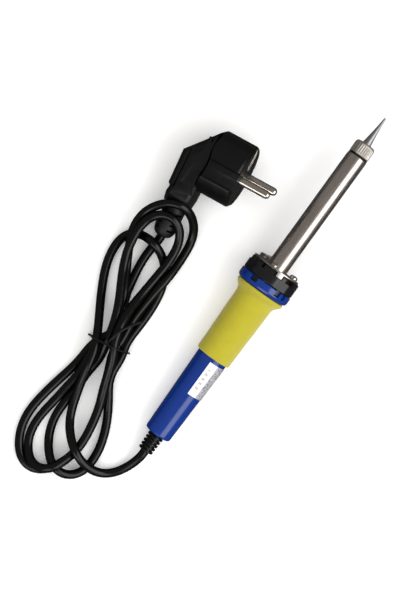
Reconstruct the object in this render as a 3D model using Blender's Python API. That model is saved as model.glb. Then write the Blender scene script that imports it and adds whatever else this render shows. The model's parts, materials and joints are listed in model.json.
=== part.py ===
"""Mains soldering iron with a knurled tip nut, a tied bundle of cord and an angled two-pin plug.

The iron lies on a flat surface, tail down, resting on its handle's head ring and its rear rim.
+X runs along the iron towards the tip, +Y towards the bundle of cord, +Z up. The origin is under
the middle of the iron, on the surface. Sizes below are in millimetres and become metres on the way
into each mesh. Along the iron, x counts from the handle's rear end, and an angle round its axis
counts in degrees from straight up (+Z) towards +Y.
"""

import math

import bmesh
import bpy
from mathutils import Matrix, Vector

MM = 0.001
GAP = 0.3  # clearance between pieces that touch on the real iron

# Handle, grip and label
HANDLE_END_R = 8.13
HANDLE_GRIP_R = 9.3
GRIP_START = 54.8
GRIP_END = 101.3
HEAD_BACK = 101.7
HEAD_FRONT = 107.3
HEAD_R = 16.4
HEAD_CAVITY_R = 8.9
REAR_WALL = 3.0
SLOT_BACK = 104.1
SLOT_FLOOR_R = 13.2
HEAD_SLOTS = ((27, 16), (-31, 12), (-50, 8), (207, 16), (149, 12), (130, 8))  # centre, width in degrees
LABEL_X = (30.5, 52.5)
LABEL_ANGLES = (-2, -128)

# Collar, flange and its screws
COLLAR_FRONT = 115.9
COLLAR_R = 16.1
COLLAR_STEP = 113.3
COLLAR_STEP_R = 13.4
COLLAR_FLAT = 15.55
COLLAR_FLATS = (-29.5, 60.5, 150.5, 240.5)
COLLAR_NOTCHES = ((-52, -31), (-22, 0), (24, 30), (57, 108), (132, 150), (180, 232))
FLANGE_BACK = 116.2
FLANGE_FRONT = 117.0
FLANGE_R = 15.0
FLANGE_EARS = ((-21, -6), (200, 214))
TAB_ANGLE = 143
SCREW_CIRCLE_R = 11.6
SCREW_ANGLES = (12, 132, 252)
SCREW_R = 1.25
SCREW_HEAD_R = 2.45

# Barrel, bush, nut and tip
BARREL_BACK = 115.3
BARREL_END = 194.0
BARREL_R = 6.25
BARREL_BORE_R = 5.75
THREAD_R = 5.0
THREAD_END = 199.5
NUT_BACK = 195.3
NUT_FRONT = 202.7
NUT_R = 6.2
TIP_BACK = 135.0
TIP_END = 220.6
TIP_R = 2.75
TIP_POINT_R = 0.7
HEATER_BORE_R = 3.15

# Wiring inside the handle
SHEATH = (9.3, 24.0)
CORD_R = 2.5
WIRE_R = 0.7
BLOCK_X = (40.0, 55.0)
POLE_Y = 3.0
CLAMP_SCREWS_X = (43.5, 51.5)

# How the iron lies: it touches the surface with the tail's rim and the head ring's rear edge
TAIL_CONTACT_X = 2.3
HEAD_CONTACT_X = 103.3
TILT = math.atan2(HEAD_R - HANDLE_END_R, HEAD_CONTACT_X - TAIL_CONTACT_X)
REAR_X = -109.67
REAR_Z = HANDLE_END_R * math.cos(TILT) - TAIL_CONTACT_X * math.sin(TILT)

# Plug: pins point along its own x, its own y points away from the cord, z runs from pin to pin
PLUG_PLACE = (36.5, 44.6, 21.8)
PLUG_HEADING = -83.63
PLUG_ROLL = 14.7
PLUG_PITCH = 8.4
BLOCK_R = 19.1
BLOCK_BACK = -21.3
BLOCK_CENTRE_Y = 0.5
PIN_R = 2.4
PIN_SPACING = 19.0
PIN_LENGTH = 19.0
PIN_SOCKET = 9.0
EARTH_FOOT_REACH = 4.5
SHELL_HALF_HEIGHT = 12.0
NECK_HALF_HEIGHT = 7.2
RELIEF_X = -27.0
RELIEF_START = -31.1
RELIEF_LENGTH = 19.0

# Bundle of cord, in the plane of the surface. Its points' X counts from the handle's rear end.
BUNDLE_HEIGHT = 10.5
BUNDLE_LOW_SIDE = ((18, 40.4), (26, 41.5), (40, 41.7), (56, 41.6), (72, 44.0), (90, 44.2), (104, 46.0))
BUNDLE_FAR_END = ((113, 51.5), (115.8, 61), (112.5, 73), (104, 80.5), (90, 83))
BUNDLE_HIGH_SIDE = ((76, 84), (66, 83.5), (54, 79), (42, 72.2), (33, 66.8), (25, 63.2), (12, 62.7), (-4, 65.5))
BUNDLE_NEAR_END = ((-20, 68.2), (-32, 68.8), (-44, 66), (-53, 60.3), (-58.6, 51), (-56.5, 40), (-51.5, 30))
BUNDLE_CORNER = ((-47, 22.5), (-38, 18.9), (-26, 19.1), (-12, 24), (0, 30.5), (10, 37.3))
BRIDGE = ((88, 44.5), (104, 46.2), (112.8, 51.8), (115.5, 61), (112.3, 72.8), (104, 80.2), (88, 82.8))
BRIDGE_HEIGHT = 21.5
LEAD_ROUTE = ((-11.95, 0, 7.0), (-15, 0.2, 6.65), (-18.5, 1.1, 5.6), (-23.3, 3.0, 4.2), (-29.5, 6.3, 3.0),
              (-34.4, 11.1, 3.2), (-36.4, 15.0, 4.0), (-36.8, 18.1, 4.8))
TIE_R = 0.5
TIE_ROUTE = ((46.7, 44.5, 11.6), (42, 48, 11.7), (36.1, 51, 11.6), (32.2, 51.8, 11.5), (27.2, 52.7, 11.4),
             (25.2, 56, 11.3), (24, 62, 11.3), (23.7, 64.1, 9.8), (23.7, 64.2, 2), (23.9, 63, 0.65),
             (27.1, 42, 0.65), (27.4, 40.8, 2), (27.3, 40.9, 9.8), (27, 42.4, 11.3), (26.2, 50.8, 11.3))


# ---- helpers -------------------------------------------------------------------------------------

def clear_scene():
    for obj in list(bpy.data.objects):
        bpy.data.objects.remove(obj)


def make_material(name, colour, roughness, metallic=0.0):
    material = bpy.data.materials.new(name)
    material.use_nodes = True
    shader = material.node_tree.nodes["Principled BSDF"]
    shader.inputs["Base Color"].default_value = (*colour, 1.0)
    shader.inputs["Roughness"].default_value = roughness
    shader.inputs["Metallic"].default_value = metallic
    material.diffuse_color = (*colour, 1.0)
    return material


def make_empty(name, place, rotation):
    empty = bpy.data.objects.new(name, None)
    empty.matrix_world = Matrix.Translation(Vector(place) * MM) @ rotation
    bpy.context.scene.collection.objects.link(empty)
    return empty


def add_object(name, data, parent=None, place=(0, 0, 0), turn_z=0.0):
    obj = bpy.data.objects.new(name, data)
    obj.parent = parent
    obj.location = Vector(place) * MM
    obj.rotation_euler.z = math.radians(turn_z)
    bpy.context.scene.collection.objects.link(obj)
    return obj


def mesh_object(name, bm, material=None, **placing):
    """Turns a bmesh in metres into an object, with its faces out and its round sides smooth."""
    bmesh.ops.recalc_face_normals(bm, faces=bm.faces)
    mesh = bpy.data.meshes.new(name)
    bm.to_mesh(mesh)
    bm.free()
    mesh.shade_smooth()
    mesh.set_sharp_from_angle(angle=math.radians(35))
    if material:
        mesh.materials.append(material)
    return add_object(name, mesh, **placing)


def cutter_object(name, bm, **placing):
    """A solid that only shapes another one."""
    obj = mesh_object(name, bm, **placing)
    obj.hide_render = True
    obj.display_type = "WIRE"
    return obj


def add_boolean(obj, other, operation):
    modifier = obj.modifiers.new(other.name, "BOOLEAN")
    modifier.operation = operation
    modifier.solver = "EXACT"
    modifier.object = other


def turned(outline, segments):
    """Spins an outline of (x, radius) points round X. It is closed unless it ends on the axis."""
    bm = bmesh.new()
    verts = [bm.verts.new((x * MM, 0, radius * MM)) for x, radius in outline]
    edges = [bm.edges.new(pair) for pair in zip(verts, verts[1:])]
    if outline[0][1] > 0:
        edges.append(bm.edges.new((verts[-1], verts[0])))
    bmesh.ops.spin(bm, geom=verts + edges, cent=(0, 0, 0), axis=(1, 0, 0), angle=2 * math.pi,
                   steps=segments, use_merge=True, use_duplicate=False)
    bmesh.ops.remove_doubles(bm, verts=bm.verts, dist=1e-7)
    return bm


def around(x, radius, angle):
    """Point round the iron's axis, in metres."""
    turn = math.radians(angle)
    return Vector((x, radius * math.sin(turn), radius * math.cos(turn))) * MM


def add_sector(bm, x_range, inner, outer, angles, steps):
    """Part of a ring. inner and outer hold the radii at the two ends of x_range."""
    rows = []
    for step in range(steps + 1):
        angle = angles[0] + (angles[1] - angles[0]) * step / steps
        corners = zip(x_range + x_range[::-1], inner + outer[::-1])
        rows.append([bm.verts.new(around(x, radius, angle)) for x, radius in corners])
    for row, following in zip(rows, rows[1:]):
        for side in range(4):
            after = (side + 1) % 4
            bm.faces.new((row[side], row[after], following[after], following[side]))
    bm.faces.new(rows[0])
    bm.faces.new(rows[-1])


def add_box(bm, low, high, angle=0.0):
    """Box between two corners, turned round the iron's axis by an angle in degrees."""
    middle = Matrix.Translation((Vector(low) + Vector(high)) / 2 * MM)
    sides = Matrix.Diagonal(((Vector(high) - Vector(low)) * MM).to_4d())
    sides[3][3] = 1.0
    bmesh.ops.create_cube(bm, size=1.0, matrix=Matrix.Rotation(math.radians(-angle), 4, "X") @ middle @ sides)


def add_rod(bm, start, end, radius, segments):
    """Straight round rod between two points."""
    way = Vector(end) - Vector(start)
    place = Matrix.Translation((Vector(start) + Vector(end)) / 2 * MM)
    turn = way.to_track_quat("Z", "Y").to_matrix().to_4x4()
    bmesh.ops.create_cone(bm, cap_ends=True, segments=segments, radius1=radius * MM, radius2=radius * MM,
                          depth=way.length * MM, matrix=place @ turn)


def extruded(outline, low, high):
    """Flat outline of (x, y) points, raised along z."""
    bm = bmesh.new()
    floor = bm.faces.new([bm.verts.new((x * MM, y * MM, low * MM)) for x, y in outline])
    raised = bmesh.ops.extrude_face_region(bm, geom=[floor])
    top = [item for item in raised["geom"] if isinstance(item, bmesh.types.BMVert)]
    bmesh.ops.translate(bm, verts=top, vec=(0, 0, (high - low) * MM))
    return bm


def smooth_path(points, steps, closed=False):
    """Points along the smooth curve through the given points (a Catmull-Rom spline)."""
    points = [Vector(point) for point in points]
    count = len(points)
    path = []
    for index in range(count if closed else count - 1):
        if closed:
            a, b, c, d = (points[(index + shift) % count] for shift in (-1, 0, 1, 2))
        else:
            a, b, c, d = (points[min(max(index + shift, 0), count - 1)] for shift in (-1, 0, 1, 2))
        for step in range(steps):
            t = step / steps
            path.append(0.5 * (2 * b + (c - a) * t + (2 * a - 5 * b + 4 * c - d) * t ** 2
                               + (3 * b - a - 3 * c + d) * t ** 3))
    if not closed:
        path.append(points[-1])
    return path


def tube(name, path, radius, material, parent=None, resolution=2):
    """Round cord or wire along a path of points."""
    curve = bpy.data.curves.new(name, "CURVE")
    curve.dimensions = "3D"
    curve.bevel_depth = radius * MM
    curve.bevel_resolution = resolution
    curve.use_fill_caps = True
    spline = curve.splines.new("POLY")
    spline.points.add(len(path) - 1)
    for point, place in zip(spline.points, path):
        point.co = (*(place * MM), 1.0)
    curve.materials.append(material)
    return add_object(name, curve, parent=parent)


def from_rear(points):
    """Points whose X counts from the handle's rear end, in the row's own frame."""
    return [Vector((point[0] + REAR_X, *point[1:])) for point in points]


# ---- handle and grip -----------------------------------------------------------------------------

def make_handle(iron, plastic):
    outline = [(0, 3.9), (0, 4.2), (0.5, 5.8), (1.0, 7.1), (1.6, 7.8), (TAIL_CONTACT_X, HANDLE_END_R),
               (GRIP_START, HANDLE_GRIP_R), (94.5, 9.9), (97.5, 11.2), (100, 13.2), (HEAD_BACK, 14.0), (HEAD_BACK, 14.9), (102.3, 15.9),
               (HEAD_CONTACT_X, HEAD_R), (106.9, HEAD_R), (HEAD_FRONT, 16.0), (HEAD_FRONT, HEAD_CAVITY_R),
               (102, HEAD_CAVITY_R), (96, 8.0), (GRIP_START, 7.5), (REAR_WALL, 6.3), (REAR_WALL, 3.9)]
    handle = mesh_object("handle", turned(outline, 32), plastic, parent=iron)
    slots = bmesh.new()
    for centre, width in HEAD_SLOTS:
        angles = (centre - width / 2, centre + width / 2)
        add_sector(slots, (SLOT_BACK, HEAD_FRONT + 1), (SLOT_FLOOR_R,) * 2, (HEAD_R + 1,) * 2, angles, 2)
    add_boolean(handle, cutter_object("head_slots", slots, parent=iron), "DIFFERENCE")
    return handle


def make_grip(iron, foam):
    outline = [(GRIP_START, 9.65), (GRIP_START, 10.2), (55.3, 10.65), (56.5, 10.8), (94.9, 11.65), (96.6, 12.3),
               (98.4, 14.0), (99.3, 15.0), (100.3, 15.3), (GRIP_END, 15.1), (GRIP_END, 14.3), (99.8, 13.55),
               (97.3, 11.65), (94.3, 10.25)]
    mesh_object("grip_sleeve", turned(outline, 32), foam, parent=iron)


def handle_radius(x):
    slope = (HANDLE_GRIP_R - HANDLE_END_R) / (GRIP_START - TAIL_CONTACT_X)
    return HANDLE_END_R + slope * (x - TAIL_CONTACT_X)


def make_label(iron, paper):
    bm = bmesh.new()
    inner = tuple(handle_radius(x) + 0.1 for x in LABEL_X)
    outer = tuple(radius + 0.2 for radius in inner)
    add_sector(bm, LABEL_X, inner, outer, LABEL_ANGLES, 11)
    mesh_object("label", bm, paper, parent=iron)


def ribbed(start, rib, groove, pitch, count, base_radius, end_radius):
    """Outline of a ribbed sleeve whose ribs and grooves taper from the base to the end."""
    outline = []
    for index in range(count):
        share = index / (count - 1)
        radius = base_radius + (end_radius - base_radius) * share
        x = start + pitch * index
        outline += [(x, radius - 0.35), (x + 0.3, radius), (x + rib - 0.3, radius), (x + rib, radius - 0.35)]
        if index < count - 1:
            outline += [(x + rib, radius - groove), (x + pitch, radius - groove)]
    return outline


def make_strain_relief(iron, rubber):
    ribs = ribbed(start=0.9, rib=1.3, groove=1.2, pitch=2.3, count=5, base_radius=4.85, end_radius=4.5)
    outline = [(9.0, 0), (9.0, 3.2), (5.0, 3.2), (5.0, 4.8), (REAR_WALL + GAP, 4.8), (REAR_WALL + GAP, 3.6),
               (-0.35, 3.6)] + [(-x, radius) for x, radius in ribs] + [(-11.5, 3.2), (-11.5, 0)]
    mesh_object("strain_relief", turned(outline, 16), rubber, parent=iron)


# ---- collar, flange and screws -------------------------------------------------------------------

def screw_hole_cutter(iron, name, x_range):
    bm = bmesh.new()
    for angle in SCREW_ANGLES:
        ends = [around(x, SCREW_CIRCLE_R, angle) / MM for x in x_range]
        add_rod(bm, ends[0], ends[1], SCREW_R + GAP, 12)
    return cutter_object(name, bm, parent=iron)


def make_collar(iron, phenolic):
    back = HEAD_FRONT + GAP
    outline = [(back, 9.6), (back, 15.8), (back + 0.3, COLLAR_R), (COLLAR_FRONT - 0.4, COLLAR_R),
               (COLLAR_FRONT, 15.6), (COLLAR_FRONT, 8.9), (115.0, 8.9), (115.0, 7.2), (113.0, 7.2), (113.0, 9.6)]
    collar = mesh_object("collar", turned(outline, 48), phenolic, parent=iron)
    lugs = bmesh.new()
    for centre, width in HEAD_SLOTS:
        angles = (centre - width / 2 + 1.5, centre + width / 2 - 1.5)
        add_sector(lugs, (SLOT_BACK + 0.5, back + 0.6), (SLOT_FLOOR_R + 0.4,) * 2, (15.4,) * 2, angles, 2)
    add_boolean(collar, cutter_object("collar_lugs", lugs, parent=iron), "UNION")
    notches = bmesh.new()
    for angles in COLLAR_NOTCHES:
        steps = max(1, round((angles[1] - angles[0]) / 10))
        add_sector(notches, (COLLAR_STEP, COLLAR_FRONT + 1), (COLLAR_STEP_R,) * 2, (COLLAR_R + 2,) * 2, angles, steps)
    add_boolean(collar, cutter_object("collar_notches", notches, parent=iron), "DIFFERENCE")
    flats = bmesh.new()
    for angle in COLLAR_FLATS:
        add_box(flats, (back - 0.1, -8, COLLAR_FLAT), (COLLAR_FRONT + 1, 8, COLLAR_R + 2), angle)
    add_boolean(collar, cutter_object("collar_flats", flats, parent=iron), "DIFFERENCE")
    return collar


def make_flange(iron, steel):
    outline = [(FLANGE_BACK, 6.6), (FLANGE_BACK, FLANGE_R), (FLANGE_FRONT, FLANGE_R), (FLANGE_FRONT, 6.6)]
    flange = mesh_object("barrel_flange", turned(outline, 36), steel, parent=iron)
    extras = bmesh.new()
    for angles in FLANGE_EARS:
        add_sector(extras, (113.6, FLANGE_FRONT - 0.1), (14.2,) * 2, (14.9,) * 2, angles, 2)
    add_boolean(flange, cutter_object("flange_ears", extras, parent=iron), "UNION")
    tab = bmesh.new()
    turn = Matrix.Rotation(math.radians(-TAB_ANGLE), 4, "X")
    ends = []
    for side, top in ((4.0, 120.1), (-4.0, 119.0)):
        profile = ((116.3, 12.5), (116.3, 15.3), (top, 15.3), (top, 14.5), (116.9, 14.5), (116.9, 12.5))
        ends.append([tab.verts.new(turn @ (Vector((x, side, radius)) * MM)) for x, radius in profile])
    for index in range(6):
        after = (index + 1) % 6
        tab.faces.new((ends[0][index], ends[0][after], ends[1][after], ends[1][index]))
    tab.faces.new(ends[0])
    tab.faces.new(ends[1])
    add_boolean(flange, cutter_object("flange_tab", tab, parent=iron), "UNION")
    return flange


def make_flange_screws(iron, steel):
    head = FLANGE_FRONT + GAP
    outline = [(102.3, 0), (102.3, 0.7), (103.2, SCREW_R), (head, SCREW_R), (head, SCREW_HEAD_R),
               (head + 0.9, SCREW_HEAD_R), (head + 1.5, 2.0), (head + 1.8, 1.1), (head + 1.8, 0)]
    for number, angle in enumerate(SCREW_ANGLES, 1):
        place = around(0, SCREW_CIRCLE_R, angle) / MM
        mesh_object(f"flange_screw_{number}", turned(outline, 12), steel, parent=iron, place=place)


# ---- barrel, heater, nut and tip -----------------------------------------------------------------

def make_barrel(iron, steel):
    outline = [(BARREL_BACK, BARREL_BORE_R), (BARREL_BACK, 8.4), (COLLAR_FRONT, 8.4), (COLLAR_FRONT, BARREL_R),
               (BARREL_END - 0.6, BARREL_R), (BARREL_END, 6.0), (BARREL_END, BARREL_BORE_R)]
    mesh_object("barrel_tube", turned(outline, 32), steel, parent=iron)


def make_bush(iron, steel):
    outline = [(184.5, HEATER_BORE_R), (184.5, 5.45), (BARREL_END, 5.45), (BARREL_END, THREAD_R),
               (THREAD_END - 0.4, THREAD_R), (THREAD_END, 4.6), (THREAD_END, HEATER_BORE_R)]
    mesh_object("barrel_bush", turned(outline, 24), steel, parent=iron)


def make_ring(iron, name, x_range, inner, outer, segments, material):
    outline = [(x_range[0], inner), (x_range[0], outer), (x_range[1], outer), (x_range[1], inner)]
    mesh_object(name, turned(outline, segments), material, parent=iron)


def make_nut(iron, nickel):
    bore = THREAD_R + GAP
    outline = [(NUT_BACK, bore), (NUT_BACK, 6.0), (NUT_BACK + 0.3, NUT_R), (200.8, NUT_R), (201.8, 5.95),
               (202.4, 5.5), (NUT_FRONT, 4.8), (NUT_FRONT, 3.05), (201.5, 3.05), (201.5, bore)]
    mesh_object("tip_nut", turned(outline, 40), nickel, parent=iron)


def make_tip(iron, plated):
    cone_start = 202.5
    cone_end = 219.9
    cone = []
    for step in range(8):
        share = step / 7
        radius = TIP_POINT_R + (2.7 - TIP_POINT_R) * (1 - share) ** 1.35
        cone.append((cone_start + (cone_end - cone_start) * share, radius))
    outline = [(TIP_BACK, 0), (TIP_BACK, 2.2), (TIP_BACK + 0.6, TIP_R), (199.8, TIP_R), (199.8, 4.5),
               (201.2, 4.5), (201.2, TIP_R)] + cone + [(220.4, 0.45), (TIP_END, 0)]
    mesh_object("tip", turned(outline, 20), plated, parent=iron)


# ---- wiring inside the handle --------------------------------------------------------------------

def make_terminal_block(iron, ceramic, brass):
    block = bmesh.new()
    add_box(block, (BLOCK_X[0], -5.2, -3.2), (BLOCK_X[1], 5.2, 3.2))
    block = mesh_object("terminal_block", block, ceramic, parent=iron)
    poles = bmesh.new()
    wells = bmesh.new()
    number = 0
    for y in (-POLE_Y, POLE_Y):
        add_rod(poles, (BLOCK_X[0] - 1, y, 0), (BLOCK_X[1] + 1, y, 0), 1.1, 10)
        for x in CLAMP_SCREWS_X:
            add_rod(wells, (x, y, 0), (x, y, 4.2), 1.3, 10)
            number += 1
            screw = bmesh.new()
            add_rod(screw, (x, y, 1.05), (x, y, 3.1), 0.95, 10)
            mesh_object(f"terminal_screw_{number}", screw, brass, parent=iron)
    add_boolean(block, cutter_object("block_poles", poles, parent=iron), "DIFFERENCE")
    add_boolean(block, cutter_object("block_wells", wells, parent=iron), "DIFFERENCE")


def make_wiring(iron, sheath, materials):
    start = SHEATH[1] + GAP
    tube("cord_inner", [Vector((SHEATH[0], 0, 0)), Vector((SHEATH[1], 0, 0))], CORD_R, sheath, parent=iron)
    for name, side in (("wire_live", 1), ("wire_neutral", -1)):
        route = ((start, 1.3 * side, 0.6), (30, 2.2 * side, 0.4), (36, POLE_Y * side, 0), (44.5, POLE_Y * side, 0))
        tube(name, smooth_path(route, 2), WIRE_R, materials[name], parent=iron)
    route = ((start, 0, -1.4), (31, 0, -4.2), (40, 0, -5.6), (70, 0, -6.0), (104, 0, -6.0), (114.0, 0, -5.0))
    tube("wire_earth", smooth_path(route, 2), WIRE_R, materials["wire_earth"], parent=iron)
    for number, side in ((1, 1), (2, -1)):
        route = ((50.5, POLE_Y * side, 0), (60, POLE_Y * side, 0), (90, 3.3 * side, 0), (120.7, 3.8 * side, 0))
        tube(f"heater_lead_{number}", smooth_path(route, 2), WIRE_R, materials["heater_lead"], parent=iron)
    tag = bmesh.new()
    add_box(tag, (114.3, -2.2, -6.5), (114.9, 2.2, -3.5))
    mesh_object("earth_tag", tag, materials["brass"], parent=iron)


# ---- plug ----------------------------------------------------------------------------------------

def make_plug_front(plug, plastic):
    outline = [(BLOCK_BACK, 0), (BLOCK_BACK, 17.9), (BLOCK_BACK + 1.3, BLOCK_R), (-1.5, BLOCK_R), (-0.4, 18.6),
               (0, 17.8), (0, 0)]
    placing = {"parent": plug, "place": (0, BLOCK_CENTRE_Y, 0)}
    front = mesh_object("plug_front", turned(outline, 40), plastic, **placing)
    cuts = bmesh.new()
    feet = bmesh.new()
    for side in (1, -1):
        for low_y, high_y in ((-6.4, -1.4), (0.8, 5.5)):
            low_z, high_z = sorted((16.6 * side, 22 * side))
            add_box(cuts, (-20.3, low_y, low_z), (1, high_y, high_z))
        middle = BLOCK_CENTRE_Y + 19.5 * side
        add_box(cuts, (-17.3, middle - 2.7, -2.7), (1, middle + 2.7, 2.7))
        low_y, high_y = sorted(BLOCK_CENTRE_Y + reach * side for reach in (EARTH_FOOT_REACH - GAP, 20))
        add_box(feet, (-1.2, low_y, -2.7), (1.5, high_y, 2.7))
        add_rod(cuts, (-PIN_SOCKET, 0, PIN_SPACING / 2 * side), (1, 0, PIN_SPACING / 2 * side), PIN_R + GAP, 16)
    add_boolean(front, cutter_object("plug_cuts", cuts, parent=plug), "DIFFERENCE")
    add_boolean(front, cutter_object("plug_foot_cuts", feet, parent=plug), "DIFFERENCE")


def make_plug_metal(plug, nickel):
    outline = [(-PIN_SOCKET + GAP, 0), (-PIN_SOCKET + GAP, PIN_R), (PIN_LENGTH - 2.0, PIN_R),
               (PIN_LENGTH - 0.8, 2.0), (PIN_LENGTH - 0.2, 1.2), (PIN_LENGTH, 0)]
    for number, side in ((1, 1), (2, -1)):
        mesh_object(f"plug_pin_{number}", turned(outline, 16), nickel, parent=plug,
                    place=(0, 0, PIN_SPACING / 2 * side))
        reach = 17.9
        corners = ((-16.8, reach - 0.6), (-0.9, reach - 0.6), (-0.9, EARTH_FOOT_REACH), (-GAP, EARTH_FOOT_REACH),
                   (-GAP, reach), (-16.8, reach))
        leg = extruded([(x, BLOCK_CENTRE_Y + y * side) for x, y in corners], -2.2, 2.2)
        mesh_object(f"plug_earth_{number}", leg, nickel, parent=plug)


def make_plug_shell(plug, plastic):
    front = BLOCK_BACK - 0.4
    outline = ((front, 18.6), (-37.4, 0.3), (-36.3, -20.4), (-33.5, -23.2), (-20.2, -21.4), (front, -18.4))
    shell = mesh_object("plug_shell", extruded(outline, -SHELL_HALF_HEIGHT, SHELL_HALF_HEIGHT), plastic,
                        parent=plug)
    neck_end = RELIEF_START + GAP
    outline = ((-24, -14), (-32, -14), (-34.9, -24), (-34.3, neck_end), (-19.7, neck_end), (-19.4, -20.5))
    neck = cutter_object("plug_neck", extruded(outline, -NECK_HALF_HEIGHT, NECK_HALF_HEIGHT), parent=plug)
    for obj, width in ((shell, 2.4), (neck, 1.8)):
        bevel = obj.modifiers.new("rounded_edges", "BEVEL")
        bevel.width = width * MM
        bevel.segments = 2
        bevel.limit_method = "ANGLE"
        bevel.angle_limit = math.radians(20)
    add_boolean(shell, neck, "UNION")


def make_plug_relief(plug, rubber):
    ribs = ribbed(start=1.2, rib=2.2, groove=1.3, pitch=3.8, count=5, base_radius=6.6, end_radius=5.6)
    outline = [(0, 0), (0, 5.4)] + ribs + [(RELIEF_LENGTH, 3.6), (RELIEF_LENGTH, 0)]
    mesh_object("plug_relief", turned(outline, 16), rubber, parent=plug, place=(RELIEF_X, RELIEF_START, 0),
                turn_z=-90)


# ---- cord ----------------------------------------------------------------------------------------

def make_cord(plug, rubber, tie_plastic):
    corners = BUNDLE_LOW_SIDE + BUNDLE_FAR_END + BUNDLE_HIGH_SIDE + BUNDLE_NEAR_END + BUNDLE_CORNER
    outline = [point.to_2d() for point in from_rear([(x, y, 0) for x, y in corners])]
    hank = mesh_object("cord_hank", extruded(outline, 0, BUNDLE_HEIGHT), rubber)
    outline = [point.to_2d() for point in from_rear([(x, y, 0) for x, y in BRIDGE])]
    bridge = cutter_object("hank_bridge", extruded(outline, 1, BRIDGE_HEIGHT))
    add_boolean(hank, bridge, "UNION")
    channel = bmesh.new()
    relief_end = RELIEF_START - RELIEF_LENGTH
    add_box(channel, (-35.4, relief_end - GAP, -40), (-18.6, 20, NECK_HALF_HEIGHT + 0.5))
    add_boolean(hank, cutter_object("hank_channel", channel, parent=plug), "DIFFERENCE")
    groove = bmesh.new()
    add_box(groove, (22.3 + REAR_X, 30, -2), (28.7 + REAR_X, 75, 1.4))
    add_boolean(hank, cutter_object("hank_groove", groove), "DIFFERENCE")
    tube("cord_lead", smooth_path(from_rear(LEAD_ROUTE), 2), CORD_R, rubber)
    tube("cord_tie", smooth_path(from_rear(TIE_ROUTE), 2), TIE_R, tie_plastic, resolution=1)


# ---- the whole object ----------------------------------------------------------------------------

def main():
    clear_scene()
    blue = make_material("blue_polypropylene", (0.015, 0.06, 0.42), 0.28)
    yellow = make_material("yellow_foam", (0.62, 0.57, 0.06), 0.85)
    white = make_material("white_paper", (0.8, 0.8, 0.78), 0.6)
    phenolic = make_material("black_phenolic", (0.018, 0.018, 0.02), 0.45)
    black = make_material("black_plastic", (0.012, 0.012, 0.013), 0.4)
    rubber = make_material("black_rubber", (0.014, 0.014, 0.015), 0.5)
    stainless = make_material("stainless_steel", (0.55, 0.53, 0.5), 0.25, 1.0)
    nickel = make_material("nickel_plate", (0.68, 0.66, 0.62), 0.25, 1.0)
    dark_steel = make_material("oxidised_steel", (0.05, 0.05, 0.05), 0.5, 1.0)
    plated = make_material("iron_plate", (0.4, 0.42, 0.44), 0.4, 1.0)
    ceramic = make_material("ceramic", (0.75, 0.72, 0.65), 0.6)
    mica = make_material("mica", (0.6, 0.5, 0.35), 0.35)
    resistance_wire = make_material("resistance_wire", (0.35, 0.3, 0.27), 0.45, 1.0)
    brass = make_material("brass", (0.75, 0.55, 0.25), 0.3, 1.0)
    wires = {"wire_live": make_material("brown_wire", (0.16, 0.06, 0.02), 0.5),
             "wire_neutral": make_material("blue_wire", (0.03, 0.12, 0.5), 0.5),
             "wire_earth": make_material("green_yellow_wire", (0.3, 0.5, 0.05), 0.5),
             "heater_lead": make_material("glass_fibre_sleeve", (0.75, 0.73, 0.68), 0.8),
             "brass": brass}

    iron = make_empty("iron_axis", (REAR_X, 0, REAR_Z), Matrix.Rotation(-TILT, 4, "Y"))
    handle = make_handle(iron, blue)
    make_grip(iron, yellow)
    make_label(iron, white)
    make_strain_relief(iron, rubber)
    collar = make_collar(iron, phenolic)
    flange = make_flange(iron, stainless)
    for obj, x_range in ((handle, (101.8, 110)), (collar, (105, 118)), (flange, (115, 118))):
        add_boolean(obj, screw_hole_cutter(iron, f"{obj.name}_screw_holes", x_range), "DIFFERENCE")
    make_flange_screws(iron, nickel)

    make_barrel(iron, stainless)
    make_bush(iron, dark_steel)
    make_ring(iron, "nut_washer", (194.3, 195.0), THREAD_R + GAP, 6.0, 24, dark_steel)
    make_nut(iron, nickel)
    make_tip(iron, plated)
    make_ring(iron, "heater_core", (121.0, 184.0), HEATER_BORE_R, 4.4, 16, ceramic)
    make_ring(iron, "heater_winding", (125.0, 180.0), 4.65, 4.95, 20, resistance_wire)
    make_ring(iron, "heater_sleeve", (122.0, 183.5), 5.15, 5.42, 24, mica)

    make_terminal_block(iron, ceramic, brass)
    make_wiring(iron, rubber, wires)
    make_ring(iron, "cord_clamp", (12.0, 17.0), CORD_R + GAP, 3.9, 16, nickel)

    turn = (Matrix.Rotation(math.radians(PLUG_HEADING), 4, "Z") @ Matrix.Rotation(math.radians(-PLUG_PITCH), 4, "Y")
            @ Matrix.Rotation(math.radians(PLUG_ROLL), 4, "X"))
    plug = make_empty("plug_axis", PLUG_PLACE, turn)
    make_plug_front(plug, black)
    make_plug_metal(plug, nickel)
    make_plug_shell(plug, black)
    make_plug_relief(plug, rubber)
    make_cord(plug, rubber, black)


main()
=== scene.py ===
"""Looks of a mains soldering iron, its tied bundle of cord and its angled two-pin plug.

Sizes are in millimetres, unless a name or a comment says otherwise. On the iron, x counts along its
axis from the handle's rear end, and an angle round that axis counts in degrees from straight up
towards +Y. On the plug, x runs out along the pins, y away from the cord, and z from pin to pin.
"""

import json
import math

import bmesh
import bpy
import numpy as np
from mathutils import Matrix, Vector


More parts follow.
